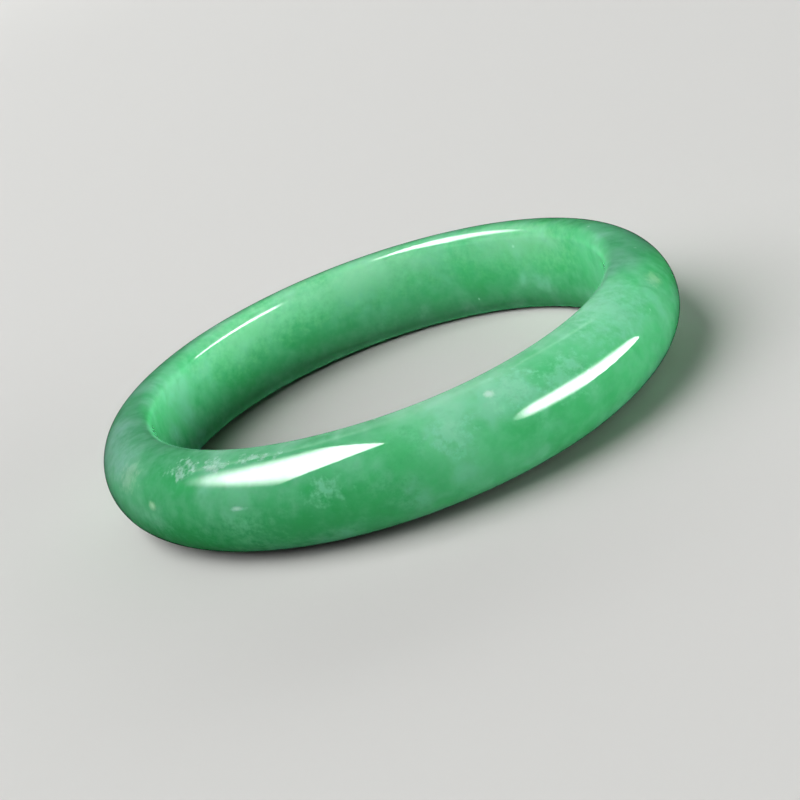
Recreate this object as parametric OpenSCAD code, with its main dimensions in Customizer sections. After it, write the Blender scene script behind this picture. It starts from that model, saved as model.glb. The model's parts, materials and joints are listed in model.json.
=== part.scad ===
// A solid stone bangle: one closed ring, carved and polished from a single piece.
// Lengths are in millimetres. The origin is the centre of the wrist opening at half of the band's
// width, and +Z runs along the ring's axis.

/* [Ring] */
// Inside diameter, the size that a bangle is sold by
inner_d = 58; // [50:0.5:68]
// Width of the band, from one rim to the other
band_w = 12; // [9:0.5:16]

/* [Section] */
// Rounding where the flat inner wall turns over onto each rim
edge_r = 1.6; // [0.5:0.1:4]

/* [Hidden] */
$fn = 180;
jade_green = [0.36, 0.68, 0.50];

inner_r = inner_d / 2;
// The outside is a half round, so it is as high as half of the band's width
dome_r = band_w / 2;
// Distance from the ring's axis to the crest of each rim, where the edge's curve meets the dome's
crest_r = inner_r + edge_r;
// Height of the straight part of the inner wall
flat_h = band_w - 2 * edge_r;

// Outside of the band cut across, a half disc that stands on the line of the two crests
module dome_half() {
    intersection() {
        translate([crest_r, 0]) circle(r = dome_r);
        translate([crest_r, -dome_r]) square([dome_r, band_w]);
    }
}

// Wrist side of the band cut across, a flat wall between two rounded edges
module wrist_half() {
    translate([inner_r, -flat_h / 2]) square([edge_r, flat_h]);
    for (side = [-1, 1])
        intersection() {
            translate([crest_r, side * flat_h / 2]) circle(r = edge_r);
            translate([inner_r, side * (flat_h + edge_r) / 2 - edge_r / 2]) square(edge_r);
        }
}

// The whole ring, its D-shaped section turned once round the axis
module bangle() {
    color(jade_green)
        rotate_extrude()
            union() {
                dome_half();
                wrist_half();
            }
}

bangle();
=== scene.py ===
# %% [markdown]
# # A polished jade bangle
#
# The bangle is one closed ring, cored out of a slab of green jade, ground to a D-shaped section
# and polished like a mirror. It has no hinge, clasp or mount, so the whole lesson is about one
# piece: how to turn its shape, how to make stone that light sinks into, and how to light a polish.
#
# The CAD model is loaded first. It says how large the ring is and where it stands, and every
# number below that can be worked out from it is.

# %% Load the frame
import json
import math

import bmesh
import bpy
from mathutils import Euler, Matrix, Vector, noise


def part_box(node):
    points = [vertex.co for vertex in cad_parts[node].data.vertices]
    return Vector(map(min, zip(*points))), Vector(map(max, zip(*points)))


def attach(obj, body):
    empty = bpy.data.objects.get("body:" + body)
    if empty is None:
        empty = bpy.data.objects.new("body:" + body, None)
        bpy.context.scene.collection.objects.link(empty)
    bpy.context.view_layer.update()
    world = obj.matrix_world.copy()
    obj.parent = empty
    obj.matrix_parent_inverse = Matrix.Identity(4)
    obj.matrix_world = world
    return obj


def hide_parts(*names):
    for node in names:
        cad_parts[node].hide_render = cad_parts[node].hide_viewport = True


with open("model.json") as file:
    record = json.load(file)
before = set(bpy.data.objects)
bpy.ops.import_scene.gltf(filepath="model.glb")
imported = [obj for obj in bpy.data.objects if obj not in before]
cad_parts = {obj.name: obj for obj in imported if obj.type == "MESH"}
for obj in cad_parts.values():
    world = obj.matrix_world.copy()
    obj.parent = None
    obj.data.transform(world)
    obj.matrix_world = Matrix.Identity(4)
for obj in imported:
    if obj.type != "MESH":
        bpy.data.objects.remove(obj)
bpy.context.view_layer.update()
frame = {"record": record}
MM = 0.001

# %% [markdown]
# ## The ring's measures
#
# A bangle is sold by its inside diameter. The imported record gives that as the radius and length
# of the wrist opening, and the CAD box gives the outside. The section follows: a flat wall
# towards the wrist, two rounded edges, and a half round outside. Reading these from the frame
# keeps the drawing and the model alike when the design changes.

# %% Work out the section
opening = frame["record"]["mounts"][0]["dims"]
low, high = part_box("bangle")
inner_radius = opening["r_mm"] * MM
flat_height = opening["length_mm"] * MM
dome_radius = (high.z - low.z) / 2
edge_radius = dome_radius - flat_height / 2
crest_radius = inner_radius + edge_radius
print("inner radius", inner_radius, "dome radius", dome_radius, "edge radius", edge_radius)

# %% [markdown]
# ## Turn the ring
#
# The ring could be a torus squeezed into shape, a bevelled curve, or a section turned round an
# axis. Turning a drawn section is closest to how the ring is ground, and it leaves even rows of
# faces, which a mirror polish needs: an uneven face would show as a kink in the reflections. The
# section is three arcs and one straight run, with enough steps that no corner shows, and the
# Screw modifier turns it. The turned mesh is then kept as the piece's own, so that later steps
# can move its points.


# %% Draw the section
def arc(centre, radius, start, end, steps):
    """Points on a circle in the section's plane, from one angle towards another, without the last."""
    turn = (math.radians(end) - math.radians(start)) / steps
    angles = [math.radians(start) + turn * i for i in range(steps)]
    return [(centre[0] + radius * math.cos(a), centre[1] + radius * math.sin(a)) for a in angles]


dome_steps, edge_steps, wall_steps = 80, 12, 16
half_flat = flat_height / 2
section = arc((crest_radius, 0), dome_radius, -90, 90, dome_steps)
section += arc((crest_radius, half_flat), edge_radius, 90, 180, edge_steps)
section += [(inner_radius, half_flat - flat_height * i / wall_steps) for i in range(wall_steps)]
section += arc((crest_radius, -half_flat), edge_radius, 180, 270, edge_steps)
print("points in the section:", len(section))


# %% Turn it round the axis
def turned(points, steps):
    """A closed ring mesh from a closed section of (radius, height) points."""
    drawn = bpy.data.meshes.new("section")
    ends = [(i, (i + 1) % len(points)) for i in range(len(points))]
    drawn.from_pydata([(r, 0, z) for r, z in points], ends, [])
    blank = bpy.data.objects.new("section", drawn)
    bpy.context.scene.collection.objects.link(blank)
    lathe = blank.modifiers.new("lathe", "SCREW")
    lathe.steps = lathe.render_steps = steps
    lathe.use_merge_vertices = True
    lathe.merge_threshold = 0.001 * MM
    lathe.use_normal_calculate = True
    made = bpy.data.meshes.new_from_object(blank.evaluated_get(bpy.context.evaluated_depsgraph_get()))
    bpy.data.objects.remove(blank)
    return made


steps_round = 640
mesh = turned(section, steps_round)
mesh.name = "jade_ring"
print("faces after the turn:", len(mesh.polygons))

# %% [markdown]
# ## The hand of the polisher
#
# A stone ring is ground and polished by hand against a wheel, so its surface wanders by a few
# hundredths of a millimetre. That is too little to see as a shape, but a reflection doubles every
# slope, so the edges of the highlights waver. A bump map would do this for the render only;
# moving the points keeps it in the mesh as well.

# %% Let the surface wander
wander = 0.035 * MM
long_wave, short_wave = 14 * MM, 5 * MM
elsewhere, fine_share = Vector((7, 3, 5)), 0.25
shape = bmesh.new()
shape.from_mesh(mesh)
bmesh.ops.recalc_face_normals(shape, faces=shape.faces)
shape.normal_update()
moves = []
for v in shape.verts:
    broad = noise.noise(v.co / long_wave)
    fine = noise.noise(v.co / short_wave + elsewhere)
    moves.append(v.normal * wander * (broad + fine_share * fine))
for v, move in zip(shape.verts, moves):
    v.co += move
for face in shape.faces:
    face.smooth = True
shape.to_mesh(mesh)
shape.free()
print("largest move in mm:", round(max(m.length for m in moves) / MM, 3))

# %% Make the piece
ring = bpy.data.objects.new("jade_ring", mesh)
bpy.context.scene.collection.objects.link(ring)
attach(ring, "root")
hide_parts("bangle")
print("ring vertices:", len(mesh.vertices))

# %% [markdown]
# ## The stone
#
# Jade is a felt of tiny crystals. Cloudy patches lie where the crystals are coarse, fine fibres
# run through the block, a few white flecks catch the eye, and the green gathers in zones. All of
# that goes through the whole block, so every pattern reads the point's place in the stone, in
# millimetres, and not its place on the surface. Cut anywhere, the stone then looks like one
# piece.
#
# Each effect is a node group with named sockets, built once and used with its own values.


# %% A helper for node groups
def new_group(name, inputs, outputs):
    """An empty shader node group. inputs and outputs are (name, kind, default)."""
    group = bpy.data.node_groups.new(name, "ShaderNodeTree")
    for way, sockets in (("INPUT", inputs), ("OUTPUT", outputs)):
        for label, kind, default in sockets:
            socket = group.interface.new_socket(label, in_out=way, socket_type="NodeSocket" + kind)
            if default is not None:
                socket.default_value = default
    return group, group.nodes.new("NodeGroupInput"), group.nodes.new("NodeGroupOutput")


def add(tree, kind, settings=None, **inputs):
    """A node with its properties and inputs set. An input's value is a number or another socket."""
    node = tree.nodes.new("ShaderNode" + kind)
    for key, value in (settings or {}).items():
        setattr(node, key, value)
    for key, value in inputs.items():
        label = key.replace("_", " ")
        socket = node.inputs[label if label in node.inputs else int(key[1:])]
        if isinstance(value, bpy.types.NodeSocket):
            tree.links.new(value, socket)
        else:
            socket.default_value = value
    return node


def maths(tree, operation, *values):
    """The result of a Math node."""
    inputs = {f"i{i}": v for i, v in enumerate(values)}
    return add(tree, "Math", {"operation": operation}, **inputs).outputs[0]


def vector_maths(tree, operation, *values):
    """The vector that a Vector Math node gives."""
    node = tree.nodes.new("ShaderNodeVectorMath")
    node.operation = operation
    for i, value in enumerate(values):
        if isinstance(value, bpy.types.NodeSocket):
            tree.links.new(value, node.inputs[i])
        else:
            node.inputs[i].default_value = value
    return node


def smooth_step(tree, value, start, end):
    """0 below start, 1 above end, and an even curve between."""
    node = add(tree, "MapRange", {"interpolation_type": "SMOOTHSTEP"}, Value=value)
    for label, bound in (("From Min", start), ("From Max", end)):
        if isinstance(bound, bpy.types.NodeSocket):
            tree.links.new(bound, node.inputs[label])
        else:
            node.inputs[label].default_value = bound
    return node.outputs["Result"]


print("helpers for node groups are ready")

# %% [markdown]
# ### Clouds
#
# A cloud is soft noise, pushed about by a second, slower noise so that its edges curl, and cut by
# two levels: below the low one there is none, above the high one it is full.

# %% Clouds
clouds, g_in, g_out = new_group(
    "clouds",
    [("Place", "Vector", None), ("Size", "Float", 6.0), ("Low", "Float", 0.45),
     ("High", "Float", 0.7), ("Detail", "Float", 6.0), ("Curl", "Float", 0.6)],
    [("Mask", "Float", None)])
scaled = vector_maths(clouds, "SCALE", g_in.outputs["Place"])
clouds.links.new(maths(clouds, "DIVIDE", 1.0, g_in.outputs["Size"]), scaled.inputs["Scale"])
slow = add(clouds, "TexNoise", Vector=scaled.outputs[0], Scale=0.7, Detail=2.0)
noise_middle = (0.5, 0.5, 0.5)
centred = vector_maths(clouds, "SUBTRACT", slow.outputs["Color"], noise_middle)
push = vector_maths(clouds, "SCALE", centred.outputs[0])
clouds.links.new(g_in.outputs["Curl"], push.inputs["Scale"])
curled = vector_maths(clouds, "ADD", scaled.outputs[0], push.outputs[0])
cloud = add(clouds, "TexNoise", Vector=curled.outputs[0], Scale=1.0, Roughness=0.48,
            Detail=g_in.outputs["Detail"])
cut = smooth_step(clouds, cloud.outputs["Fac"], g_in.outputs["Low"], g_in.outputs["High"])
clouds.links.new(cut, g_out.inputs["Mask"])
print("nodes in a cloud:", len(clouds.nodes))

# %% [markdown]
# ### Fibres
#
# Fibres are the same noise drawn out along one direction of the block. The grain runs a little
# askew to the ring, as it does when a ring is cored from a slab without regard to it.

# %% Fibres
fibres, g_in, g_out = new_group(
    "fibres",
    [("Place", "Vector", None), ("Length", "Float", 9.0), ("Width", "Float", 0.5),
     ("Low", "Float", 0.5), ("High", "Float", 0.75)],
    [("Mask", "Float", None)])
bend = add(fibres, "TexNoise", Vector=g_in.outputs["Place"], Scale=0.09, Detail=1.0)
bend_mm = (5.0, 5.0, 5.0)
askew = Euler((math.radians(12), math.radians(-7), math.radians(9)))
bent = vector_maths(fibres, "SUBTRACT", bend.outputs["Color"], noise_middle)
bent = vector_maths(fibres, "MULTIPLY_ADD", bent.outputs[0], bend_mm, g_in.outputs["Place"])
grain = add(fibres, "VectorRotate", {"rotation_type": "EULER_XYZ"}, Vector=bent.outputs[0],
            Rotation=askew)
along = maths(fibres, "DIVIDE", 1.0, g_in.outputs["Length"])
across = maths(fibres, "DIVIDE", 1.0, g_in.outputs["Width"])
stretch = add(fibres, "CombineXYZ", X=along, Y=across, Z=across)
drawn = vector_maths(fibres, "MULTIPLY", grain.outputs[0], stretch.outputs[0])
fibre = add(fibres, "TexNoise", Vector=drawn.outputs[0], Scale=1.0, Detail=3.0, Roughness=0.55)
cut = smooth_step(fibres, fibre.outputs["Fac"], g_in.outputs["Low"], g_in.outputs["High"])
fibres.links.new(cut, g_out.inputs["Mask"])
print("nodes in the fibres:", len(fibres.nodes))

# %% [markdown]
# ### Flecks
#
# A fleck is a small bright crystal. A Voronoi pattern puts one point in each cell of the block,
# and only the cells whose random colour passes a level show theirs, so the flecks stay sparse.

# %% Flecks
flecks, g_in, g_out = new_group(
    "flecks",
    [("Place", "Vector", None), ("Spacing", "Float", 2.5), ("Reach", "Float", 0.14),
     ("Share", "Float", 0.12)],
    [("Mask", "Float", None)])
scaled = vector_maths(flecks, "SCALE", g_in.outputs["Place"])
flecks.links.new(maths(flecks, "DIVIDE", 1.0, g_in.outputs["Spacing"]), scaled.inputs["Scale"])
ragged = add(flecks, "TexNoise", Vector=scaled.outputs[0], Scale=5.0, Detail=2.0)
tear = (0.12, 0.12, 0.12)
ragged = vector_maths(flecks, "MULTIPLY_ADD", ragged.outputs["Color"], tear, scaled.outputs[0])
cells = add(flecks, "TexVoronoi", Vector=ragged.outputs[0], Scale=1.0)
draw = add(flecks, "SeparateColor", Color=cells.outputs["Color"])
chosen = maths(flecks, "LESS_THAN", draw.outputs[0], g_in.outputs["Share"])
size = maths(flecks, "MULTIPLY", g_in.outputs["Reach"],
             maths(flecks, "ADD", draw.outputs[1], 0.5))
near = smooth_step(flecks, cells.outputs["Distance"], size, 0.0)
flecks.links.new(maths(flecks, "MULTIPLY", near, chosen), g_out.inputs["Mask"])
print("nodes in the flecks:", len(flecks.nodes))

# %% [markdown]
# ### Spots
#
# Noise never puts a cloud where this stone has one. A spot is one ragged lump at a chosen place:
# mostly coarse crystals and deeper green, while a few spots are painted shade and painted light.
# It is an egg in the block, turned to its bearing so that its length lies along the ring.

# %% Spots
spots, g_in, g_out = new_group(
    "spots",
    [("Place", "Vector", None), ("Centre", "Vector", None), ("Bearing", "Float", 0.0),
     ("Size", "Vector", None), ("Ragged", "Float", 0.5)],
    [("Mask", "Float", None)])
offset = vector_maths(spots, "SUBTRACT", g_in.outputs["Place"], g_in.outputs["Centre"])
aligned = add(spots, "VectorRotate", {"rotation_type": "Z_AXIS"}, Vector=offset.outputs[0])
spots.links.new(maths(spots, "MULTIPLY", g_in.outputs["Bearing"], -1.0), aligned.inputs["Angle"])
egg = vector_maths(spots, "DIVIDE", aligned.outputs[0], g_in.outputs["Size"])
round_egg = vector_maths(spots, "LENGTH", egg.outputs[0])
torn = add(spots, "TexNoise", Vector=g_in.outputs["Place"], Scale=0.9, Detail=5.0, Roughness=0.65)
torn = maths(spots, "MULTIPLY", maths(spots, "SUBTRACT", torn.outputs["Fac"], 0.5),
             g_in.outputs["Ragged"])
distance = maths(spots, "MULTIPLY_ADD", torn, 2.0, round_egg.outputs["Value"])
spots.links.new(smooth_step(spots, distance, 1.0, 0.0), g_out.inputs["Mask"])
print("nodes in a spot:", len(spots.nodes))

# %% [markdown]
# ## The jade's shader
#
# Some of the light that meets jade comes straight back from the crystals near the surface, and
# some sinks in and comes out elsewhere, green from much further than red or blue. That fills the
# shadows with green and lets a bright side glow through to a dark one. The Principled shader does
# both: its subsurface weight is the share that sinks in. The polish lies on top as a clear
# reflection. A volume inside glass would be nearer to the real stone, but it is slow and noisy,
# and no other program reads it.

# %% Start the material
jade = bpy.data.materials.new("polished_jade")
jade.use_nodes = True
tree = jade.node_tree
tree.nodes.clear()
output = tree.nodes.new("ShaderNodeOutputMaterial")
stone = tree.nodes.new("ShaderNodeBsdfPrincipled")
tree.links.new(stone.outputs[0], output.inputs["Surface"])
where = tree.nodes.new("ShaderNodeTexCoord")
place = vector_maths(tree, "SCALE", where.outputs["Object"])
place.inputs["Scale"].default_value = 1 / MM
print("material:", jade.name)


def group(tree, source, **inputs):
    """Places a node group at the stone's own place and returns its first output."""
    node = tree.nodes.new("ShaderNodeGroup")
    node.node_tree = source
    tree.links.new(place.outputs[0], node.inputs["Place"])
    for label, value in inputs.items():
        node.inputs[label].default_value = value
    return node.outputs[0]


def mix(tree, mask, under, over):
    """under where the mask is 0, over where it is 1."""
    node = tree.nodes.new("ShaderNodeMix")
    node.data_type = "RGBA"
    for index, value in ((0, mask), (6, under), (7, over)):
        if isinstance(value, bpy.types.NodeSocket):
            tree.links.new(value, node.inputs[index])
        else:
            node.inputs[index].default_value = value
    return node.outputs[2]


# %% [markdown]
# ### The stone's colours
#
# The greens run from the deep green of clear jade to the near white of coarse crystals. Every
# cloud or vein lays one of them over the last, so the order of the lines is the order of the
# layers, and the number with each is how strongly it shows. The sizes are in millimetres. The
# small white specks are laid on at the very end, over the placed clouds of the next step.

# %% Colour the stone
deep_green = (0.04, 0.37, 0.105, 1)
mid_green = (0.11, 0.55, 0.205, 1)
milk_green = (0.26, 0.76, 0.42, 1)
white_green = (0.52, 0.95, 0.68, 1)
straw_green = (0.42, 0.88, 0.44, 1)
# Painted light: a lighter, yellower green, used only to paint light on the top of the inner wall.
painted_light_green = (0.24, 0.74, 0.31, 1)

zones = group(tree, clouds, Size=18.0, Low=0.34, High=0.62, Detail=2.0, Curl=0.6)
cotton = group(tree, clouds, Size=6.0, Low=0.40, High=0.78, Detail=4.5, Curl=0.9)
veins = group(tree, clouds, Size=3.7, Low=0.50, High=0.78, Detail=3.5, Curl=1.2)
mottle = group(tree, clouds, Size=1.6, Low=0.35, High=0.70, Detail=2.0, Curl=0.5)
threads = group(tree, fibres, Length=6.0, Width=0.30, Low=0.50, High=0.78)
specks = group(tree, flecks, Spacing=3.0, Reach=0.09, Share=0.10)

colour = mix(tree, zones, deep_green, mid_green)
layers = (
    (cotton, 0.65, milk_green),
    (veins, 0.55, deep_green),
    (mottle, 0.15, milk_green),
    (threads, 0.025, milk_green),
)
for layer, strength, shade in layers:
    colour = mix(tree, maths(tree, "MULTIPLY", layer, strength), colour, shade)
print("nodes in the jade's layers:", len(tree.nodes))

# %% [markdown]
# ### Where this stone has its clouds, and where shade and light are painted
#
# A real stone is known by its clouds, so the chief ones are placed one by one. Some lines are no
# clouds of the stone: they paint shade low on the inner wall and light high on it, and two low deep
# zones and the broad milky cloud at the left end are partly painted shade and light. Each line is one
# of them: its bearing in degrees, with the front at -90, then its distance from the axis, its height,
# its half length and its half width in millimetres, then how strong and how ragged it is, and its
# colour. The deep zones and the painted shade come first, then the milky clouds and the painted
# light, then the flecks.

# %% Place the clouds
placed = [
    # Partly painted shade: these two deep zones low on the near outside are deeper green of the stone
    # and also stand in for the shade on the lower half of the dome.
    (-115, 36.5, -1.5, 9.0, 4.5, 0.85, 1.0, deep_green),
    (-138, 36.0, -2.8, 14.0, 5.4, 0.90, 0.8, deep_green),
    (-98, 36.6, -0.5, 5.0, 4.0, 0.80, 1.2, deep_green),
    (-70, 36.5, 1.2, 3.5, 2.5, 0.55, 1.4, deep_green),
    (-92, 35.2, 3.9, 4.0, 2.5, 0.55, 1.4, deep_green),
    # Painted shade: the four deep green bands low on the inner wall stand in for the shade that falls
    # on the foot of the wall.
    (175, 29.0, -4.0, 14.0, 5.0, 0.70, 0.8, deep_green),
    (130, 29.0, -5.0, 18.0, 4.0, 0.60, 0.8, deep_green),
    (80, 29.0, -5.0, 18.0, 3.5, 0.60, 0.8, deep_green),
    (35, 29.0, -5.0, 14.0, 3.5, 0.50, 0.8, deep_green),
    # Partly painted light: this broad milky cloud is pale stone and also stands in for the light that
    # falls on the ring's left end from the high lamp on the left.
    (-168, 34.0, 4.5, 12.0, 4.0, 0.55, 0.8, milk_green),
    (-156, 35.2, 4.0, 3.4, 2.4, 0.32, 1.0, straw_green),
    (-107, 36.4, 1.8, 3.2, 2.0, 0.65, 1.6, milk_green),
    (-84, 35.8, 3.0, 3.0, 3.0, 0.60, 1.8, milk_green),
    (-70, 34.6, 4.5, 4.0, 3.0, 0.65, 1.6, milk_green),
    (-60, 35.5, 3.4, 4.0, 3.0, 0.50, 1.6, milk_green),
    (-40, 33.6, 5.2, 10.0, 4.5, 0.60, 1.0, milk_green),
    # Painted light: these three lighter, yellower bands high on the inner wall stand in for the light
    # that falls on the top of the wall.
    (122, 29.0, 3.5, 16.0, 5.5, 0.65, 0.6, painted_light_green),
    (88, 29.0, 3.5, 20.0, 5.5, 0.75, 0.6, painted_light_green),
    (40, 29.0, 3.5, 18.0, 5.5, 0.60, 0.6, painted_light_green),
    (-139, 33.3, 5.4, 2.2, 1.3, 0.45, 2.6, white_green),
    (-131, 32.9, 5.6, 1.8, 1.0, 0.40, 2.6, white_green),
    (-121, 32.4, 5.7, 2.6, 0.8, 0.40, 2.8, white_green),
    (-124, 36.3, 1.7, 1.6, 0.35, 0.70, 0.8, white_green),
    (-74, 33.9, 5.0, 0.8, 0.7, 0.90, 0.8, white_green),
    (-146, 36.3, 1.9, 1.1, 0.8, 0.80, 0.6, straw_green),
    (-22, 35.2, 3.9, 2.2, 1.5, 0.50, 0.8, straw_green),
]
for bearing, radius, height, length, width, strength, ragged, shade in placed:
    turn = math.radians(bearing)
    centre = (radius * math.cos(turn), radius * math.sin(turn), height)
    size = (width, length, width)
    mask = group(tree, spots, Centre=centre, Bearing=turn, Size=size, Ragged=ragged)
    colour = mix(tree, maths(tree, "MULTIPLY", mask, strength), colour, shade)
speck_strength = 0.6
colour = mix(tree, maths(tree, "MULTIPLY", specks, speck_strength), colour, white_green)
tree.links.new(colour, stone.inputs["Base Color"])
print("clouds placed by hand:", len(placed))

# %% [markdown]
# ### How light travels in the stone
#
# The subsurface radius says how far each colour of light goes, red, green and blue, as shares of
# the scale. The scale is about twice the ring's own size, because this stone is clear enough that light
# passes right through the band. Jadeite bends light more than glass does, by 1.66, which makes its
# polish brighter.

# %% Let light in
share_that_sinks = 0.6
reach_of_colours = (0.27, 1.0, 0.38)
reach = 150 * MM
jadeite_ior = 1.66
stone.inputs["Subsurface Weight"].default_value = share_that_sinks
stone.inputs["Subsurface Radius"].default_value = reach_of_colours
stone.inputs["Subsurface Scale"].default_value = reach
stone.inputs["IOR"].default_value = jadeite_ior
print("green light reaches", round(reach / MM), "mm")

# %% [markdown]
# ### The polish
#
# Under a lamp the polish shows two faults: hard crystals stand a hair proud of soft ones, like
# orange peel, and there are faint lines along the stone's grain. Both are far too shallow for the
# mesh, so they are a bump, and the lines are much the weaker. The coarse, cloudy patches take a
# slightly duller polish than the clear ones.

# %% Polish
peel = group(tree, clouds, Size=0.9, Low=0.20, High=0.80, Detail=2.0, Curl=0.3)
lines = group(tree, fibres, Length=4.0, Width=0.12, Low=0.45, High=0.75)
line_share = 0.02
relief_height = 0.002 * MM
relief = maths(tree, "MULTIPLY_ADD", lines, line_share, peel)
bump = add(tree, "Bump", Height=relief, Strength=1.0, Distance=relief_height)
tree.links.new(bump.outputs["Normal"], stone.inputs["Normal"])
clear_polish, cloudy_loss = 0.045, 0.03
dull = maths(tree, "MULTIPLY_ADD", cotton, cloudy_loss, clear_polish)
tree.links.new(dull, stone.inputs["Roughness"])
mesh.materials.append(jade)
print("nodes in the jade:", len(tree.nodes))

# %% [markdown]
# ## Floor and backdrop
#
# A plain pale sheet lies where the ring rests, and the world behind it is nearly the same grey. Far
# from the ring the sheet turns into the backdrop's grey, so there is no hard horizon. A polished stone
# mirrors what stands round it, and a pale room would wash the green out, so only the camera sees
# the paleness: reflections and bounced light meet a dark room. From below the sheet is clear.

# %% Lay the floor
floor_half = 4.0
floor_height = low.z - wander
square = ((-1, -1), (1, -1), (1, 1), (-1, 1))
corners = [(x * floor_half, y * floor_half, floor_height) for x, y in square]
floor_mesh = bpy.data.meshes.new("floor")
floor_mesh.from_pydata(corners, [], [(0, 1, 2, 3)])
floor = bpy.data.objects.new("floor", floor_mesh)
bpy.context.scene.collection.objects.link(floor)
print("floor height in mm:", round(floor_height / MM, 3))

# %% Colour the floor
paper_grey = (0.66, 0.66, 0.645, 1)
backdrop_grey = (0.72, 0.72, 0.70, 1)
unseen_grey = (0.04, 0.04, 0.04, 1)
haze_start, haze_full = 0.4, 1.0

paper = bpy.data.materials.new("pale_paper")
paper.use_nodes = True
tree = paper.node_tree
sheet = tree.nodes["Principled BSDF"]
sheet.inputs["Roughness"].default_value = 0.8
sheet.inputs["Specular IOR Level"].default_value = 0.0
to_camera = tree.nodes.new("ShaderNodeLightPath").outputs["Is Camera Ray"]
tree.links.new(mix(tree, to_camera, unseen_grey, paper_grey), sheet.inputs["Base Color"])

from_ring = vector_maths(tree, "LENGTH", tree.nodes.new("ShaderNodeTexCoord").outputs["Object"])
far = smooth_step(tree, from_ring.outputs["Value"], haze_start, haze_full)
hazy = maths(tree, "MULTIPLY", far, to_camera)
haze = add(tree, "Emission", Color=backdrop_grey)
clear = tree.nodes.new("ShaderNodeBsdfTransparent")
below = tree.nodes.new("ShaderNodeNewGeometry").outputs["Backfacing"]


def mix_shaders(tree, mask, under, over):
    """The shader under where the mask is 0, and over where it is 1."""
    node = tree.nodes.new("ShaderNodeMixShader")
    for index, socket in enumerate((mask, under, over)):
        tree.links.new(socket, node.inputs[index])
    return node.outputs[0]


seen = mix_shaders(tree, hazy, sheet.outputs[0], haze.outputs[0])
seen = mix_shaders(tree, below, seen, clear.outputs[0])
tree.links.new(seen, tree.nodes["Material Output"].inputs["Surface"])
floor_mesh.materials.append(paper)
print("the floor turns into the backdrop between", haze_start, "and", haze_full, "m")

# %% Set the backdrop
room_grey = (0.02, 0.02, 0.02, 1)
world = bpy.data.worlds.new("studio")
world.use_nodes = True
tree = world.node_tree
to_camera = tree.nodes.new("ShaderNodeLightPath").outputs["Is Camera Ray"]
backdrop = mix(tree, to_camera, room_grey, backdrop_grey)
tree.links.new(backdrop, tree.nodes["Background"].inputs["Color"])
bpy.context.scene.world = world
print("world:", world.name)

# %% [markdown]
# ## Light
#
# A polish shows little but what it mirrors, so the lamps are placed by where their mirror images
# should fall on the ring: one high on the left and one low on the right make the two bright
# streaks on the near side, and a thin strip behind draws the line along the far rim. Those three
# are seen only in the polish. Three broad lamps, further off, light the stone itself and stay out
# of the polish. With the two jobs apart, the streaks can be bright while the stone keeps its green.
#
# A real softbox is brighter in its middle, and its edge is soft. A ramp across the lamp's own face
# gives that, so a streak runs out gently on the side where the ramp is dark.

# %% A helper for lamps
def softbox(name, azimuth, elevation, width, height, turn, radiance, distance=1.0):
    """A rectangular lamp that faces the ring. Its sides are as they would be one metre away."""
    data = bpy.data.lights.new(name, "AREA")
    data.shape = "RECTANGLE"
    data.size, data.size_y = width * distance, height * distance
    data.energy = radiance * math.pi * data.size * data.size_y
    lamp = bpy.data.objects.new(name, data)
    a, e = math.radians(azimuth), math.radians(elevation)
    direction = Vector((math.cos(e) * math.cos(a), math.cos(e) * math.sin(a), math.sin(e)))
    facing = direction.to_track_quat("Z", "Y").to_matrix().to_4x4()
    spun = facing @ Matrix.Rotation(math.radians(turn), 4, "Z")
    lamp.matrix_world = Matrix.Translation(direction * distance) @ spun
    bpy.context.scene.collection.objects.link(lamp)
    print(name, "gives", round(data.energy, 2), "W")
    return lamp


def fade(lamp, *ranges):
    """Dims a lamp across its own face. Each range is an axis, where it is dark and where it is full."""
    lamp.data.use_nodes = True
    tree = lamp.data.node_tree
    face = tree.nodes.new("ShaderNodeNewGeometry")
    parts = add(tree, "SeparateXYZ", Vector=face.outputs["Parametric"])
    glow = 1.0
    for axis, dark, full in ranges:
        glow = maths(tree, "MULTIPLY", smooth_step(tree, parts.outputs[axis], dark, full), glow)
    tree.links.new(glow, tree.nodes["Emission"].inputs["Strength"])


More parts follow.
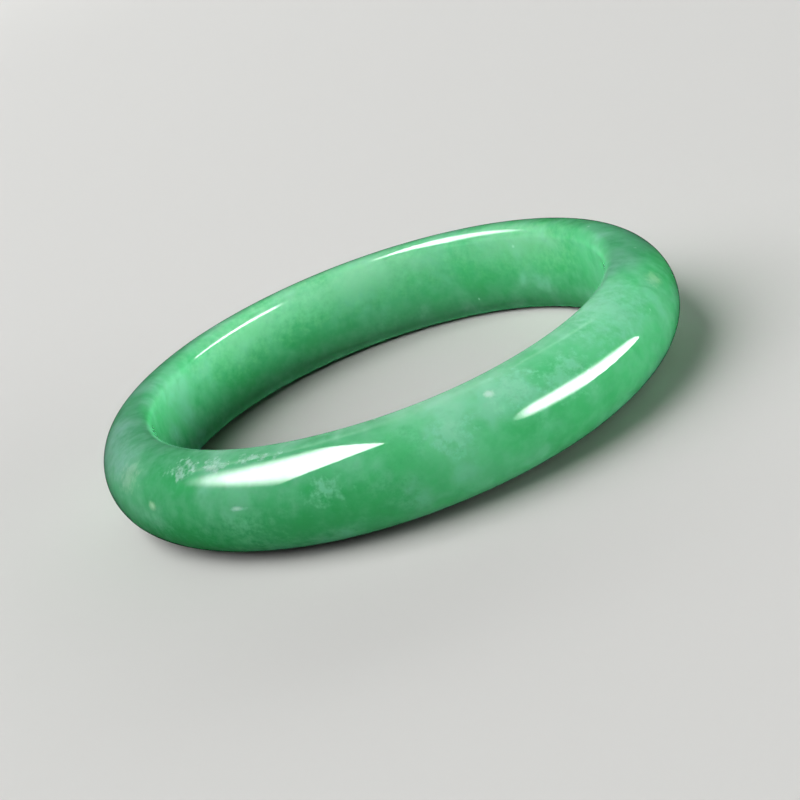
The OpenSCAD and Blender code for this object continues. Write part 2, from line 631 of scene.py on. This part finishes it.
# %% Lamps for the polish
left_streak = softbox("left_streak", azimuth=174, elevation=57, width=0.85, height=0.85, turn=17,
                      radiance=12)
fade(left_streak, ("X", 0.0, 0.45), ("Y", 0.0, 0.4))
right_streak = softbox("right_streak", azimuth=-22, elevation=9, width=1.30, height=0.54, turn=-20,
                       radiance=12)
right_streak.data.shape = "ELLIPSE"
fade(right_streak, ("X", 0.0, 0.2), ("Y", 0.05, 0.4), ("Y", 0.95, 0.6))
rim_line = softbox("rim_line", azimuth=95, elevation=50, width=1.2, height=0.07, turn=0,
                   radiance=0.9)
for lamp in (left_streak, right_streak, rim_line):
    lamp.visible_diffuse = False

# %% Lamps for the stone
far_off = 3.0
left_glow = softbox("left_glow", azimuth=178, elevation=48, width=1.1, height=1.1, turn=0,
                    radiance=3.4, distance=far_off)
right_glow = softbox("right_glow", azimuth=-22, elevation=5, width=1.15, height=0.20, turn=0,
                     radiance=10.5, distance=far_off)
back_glow = softbox("back_glow", azimuth=80, elevation=12, width=1.5, height=0.4, turn=0,
                    radiance=3.9, distance=far_off)
for lamp in (left_glow, right_glow, back_glow):
    lamp.visible_glossy = False

# %% [markdown]
# ### Contrast
#
# The Standard view keeps the green as it is mixed, where Blender's filmic views would grey it. A
# medium high contrast deepens the shaded parts and lifts the lit ones, as a product shot has it.

# %% Set the view
view = bpy.context.scene.view_settings
view.view_transform = "Standard"
view.look = "Medium High Contrast"
print("view:", view.view_transform, view.look)

# %% [markdown]
# ## Camera
#
# A short telephoto lens from a quarter of a metre away, looking down on the ring and rolled, so
# that the ring leans in the picture.

# %% Camera
lens_mm = 92
elevation, roll = math.radians(19.9), math.radians(20.4)
slide_right, slide_up, distance = 1.5 * MM, -3.4 * MM, 0.25
upright = math.radians(90)
camera_data = bpy.data.cameras.new("camera")
camera_data.lens = lens_mm
camera_data.clip_start = 0.01
camera = bpy.data.objects.new("camera", camera_data)
aim = Euler((upright - elevation, 0, 0)).to_matrix() @ Matrix.Rotation(-roll, 3, "Z")
camera.matrix_world = aim.to_4x4() @ Matrix.Translation((slide_right, slide_up, distance))
bpy.context.scene.collection.objects.link(camera)
bpy.context.scene.camera = camera
print("camera lens in mm:", lens_mm)
